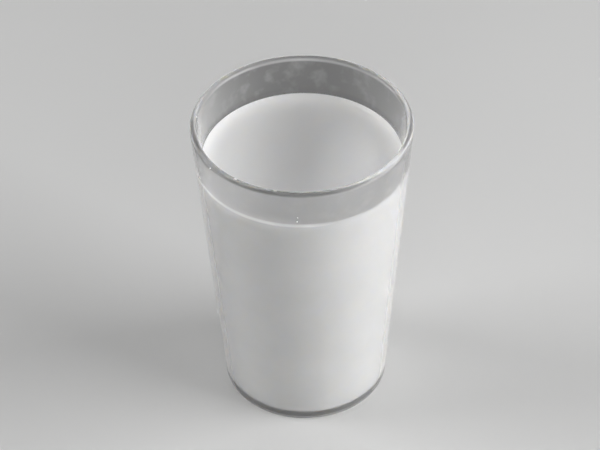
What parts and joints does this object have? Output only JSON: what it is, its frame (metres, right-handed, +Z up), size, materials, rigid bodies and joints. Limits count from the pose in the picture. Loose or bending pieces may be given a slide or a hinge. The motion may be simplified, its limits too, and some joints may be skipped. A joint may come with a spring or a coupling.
{
  "type": "glass of milk",
  "caption": "Tapered drinking glass with straight sides and a thin base, nearly full of white milk.",
  "frame": {"origin": "centre of the circle that the glass stands on", "axes": "+Z up along the axis of the glass; it is round, so +X and +Y are any two level directions"},
  "size_m": [0.08, 0.08, 0.1199],
  "materials": {
    "tumbler_glass": "clear with a slight haze",
    "milk": "opaque white liquid"
  },
  "bodies": {
    "root": {"tumbler": "tumbler_glass", "milk": "milk"}
  },
  "joints": []
}
